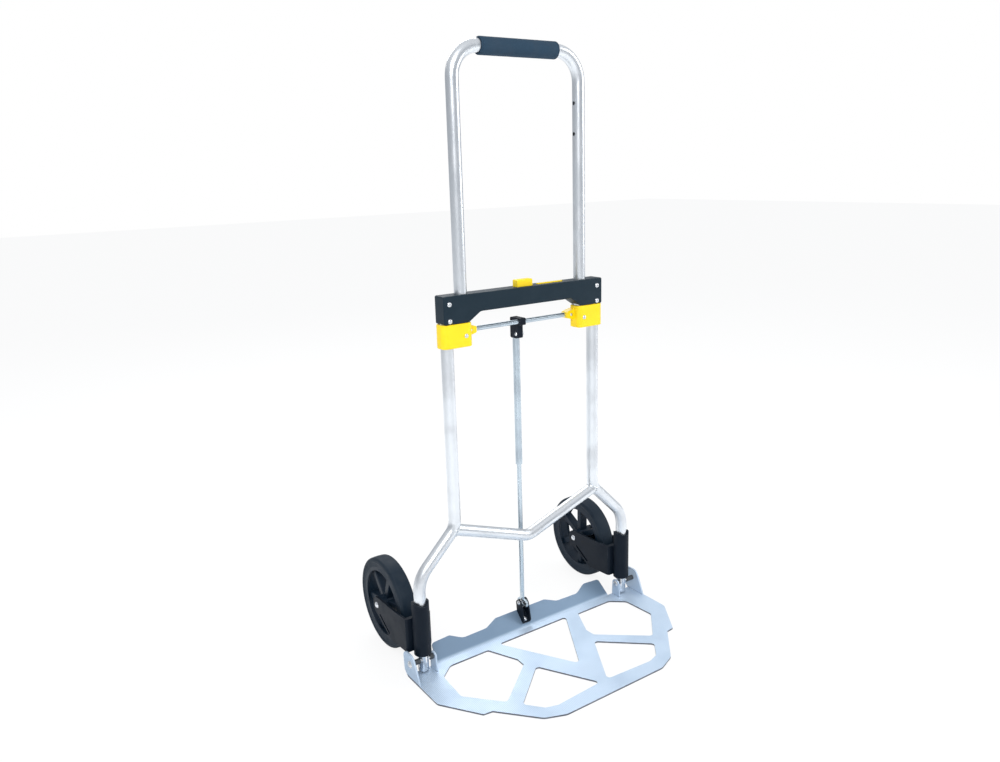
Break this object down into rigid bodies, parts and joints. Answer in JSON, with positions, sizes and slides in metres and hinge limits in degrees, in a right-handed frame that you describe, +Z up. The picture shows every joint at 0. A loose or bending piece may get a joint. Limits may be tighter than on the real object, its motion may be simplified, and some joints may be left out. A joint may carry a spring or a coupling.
{
  "type": "folding hand truck",
  "caption": "Folding aluminium hand truck with a telescopic handle, a toe plate that folds up and two wheels that swing in behind it.",
  "frame": {"origin": "On the floor, in the middle of the footprint: halfway between the front edge of the toe plate and the back of the wheels.", "axes": "+Z up along the tubes, -Y to the front where the toe plate lies, +X to the right of someone who faces +Y."},
  "size_m": [0.5468, 0.4658, 1.0895],
  "materials": {
    "aluminium_tube": "satin drawn",
    "plate_metal": "silver, fine ribbed",
    "grey_plastic": "fine grain",
    "yellow_plastic": "smooth",
    "wheel_plastic": "moulded",
    "bracket_black": "matt black",
    "tyre_rubber": "matt",
    "foam": "closed-cell foam",
    "chrome": "plated",
    "steel": "bright",
    "strut_steel": "zinc plated",
    "spring_steel": "drawn wire",
    "bush_plastic": "smooth"
  },
  "bodies": {
    "frame": {"lower_tube_left": "aluminium_tube", "lower_tube_right": "aluminium_tube", "lower_cross_tube": "aluminium_tube", "housing_front": "grey_plastic", "housing_back": "grey_plastic", "housing_rivets": "steel", "guide_bush_left": "bush_plastic", "guide_bush_right": "bush_plastic", "leg_foot_left": "chrome", "leg_foot_right": "chrome", "button_spring": "spring_steel", "lock_spring_left": "spring_steel", "lock_spring_right": "spring_steel"},
    "handle": {"handle_tube": "aluminium_tube", "foam_grip": "foam", "slider_left": "yellow_plastic", "slider_right": "yellow_plastic", "slider_screws": "steel", "lug_rivets": "steel", "cross_rod": "strut_steel", "strut_clamp": "bracket_black", "clamp_screw": "steel", "strut_tube": "strut_steel", "strut_bush": "bush_plastic"},
    "button": {"release_button": "yellow_plastic", "latch_bar": "yellow_plastic"},
    "pin_left": {"lock_pin_left": "steel"},
    "pin_right": {"lock_pin_right": "steel"},
    "platform": {"toe_plate": "plate_metal", "hinge_pin_left": "steel", "hinge_pin_right": "steel", "hinge_spacers": "bush_plastic", "strut_clevis": "bracket_black", "clevis_pin": "steel", "clevis_rivet": "steel"},
    "link_rod": {"strut_rod": "strut_steel"},
    "bracket_left": {"wheel_bracket_left": "bracket_black", "axle_left": "chrome"},
    "bracket_right": {"wheel_bracket_right": "bracket_black", "axle_right": "chrome"},
    "wheel_left": {"rim_left": "wheel_plastic", "tyre_left": "tyre_rubber", "wheel_bushes_left": "bush_plastic"},
    "wheel_right": {"rim_right": "wheel_plastic", "tyre_right": "tyre_rubber", "wheel_bushes_right": "bush_plastic"}
  },
  "joints": [
    {"name": "handle_slide", "type": "slide", "parent": "frame", "child": "handle", "axis": [0, 0, 1], "range_m": [-0.276, 0]},
    {"name": "button_press", "type": "slide", "parent": "frame", "child": "button", "axis": [0, 0, -1], "range_m": [0, 0.005], "stiffness_N_per_m": 500, "deforming": ["button_spring"]},
    {"name": "lock_pin_left_slide", "type": "slide", "parent": "frame", "child": "pin_left", "axis": [1, 0, 0], "range_m": [0, 0.005]},
    {"name": "lock_pin_right_slide", "type": "slide", "parent": "frame", "child": "pin_right", "axis": [-1, 0, 0], "range_m": [0, 0.005]},
    {"name": "platform_fold", "type": "hinge", "parent": "frame", "child": "platform", "pos_m": [0, 0.0135, 0.03], "axis": [-1, 0, 0], "range_deg": [0, 90]},
    {"name": "bracket_left_swing", "type": "hinge", "parent": "frame", "child": "bracket_left", "pos_m": [-0.24, 0.019, 0.088], "axis": [0, 0, -1], "range_deg": [0, 90]},
    {"name": "bracket_right_swing", "type": "hinge", "parent": "frame", "child": "bracket_right", "pos_m": [0.24, 0.019, 0.088], "axis": [0, 0, 1], "range_deg": [0, 90]},
    {"name": "strut_slide", "type": "slide", "parent": "frame", "child": "link_rod", "axis": [0, 0, -1], "range_m": [0, 0.0506]},
    {"name": "wheel_left_spin", "type": "hinge", "parent": "bracket_left", "child": "wheel_left", "pos_m": [-0.24, 0.145, 0.088], "axis": [1, 0, 0], "continuous": true},
    {"name": "wheel_right_spin", "type": "hinge", "parent": "bracket_right", "child": "wheel_right", "pos_m": [0.24, 0.145, 0.088], "axis": [1, 0, 0], "continuous": true}
  ],
  "couplings": [
    {"joint": "lock_pin_left_slide", "follows": "button_press", "ratio": 1},
    {"joint": "lock_pin_right_slide", "follows": "button_press", "ratio": 1},
    {"joint": "bracket_left_swing", "follows": "platform_fold", "ratio": 1},
    {"joint": "bracket_right_swing", "follows": "platform_fold", "ratio": 1},
    {"joint": "strut_slide", "follows": "platform_fold", "m_per_rad": 0.03215}
  ]
}
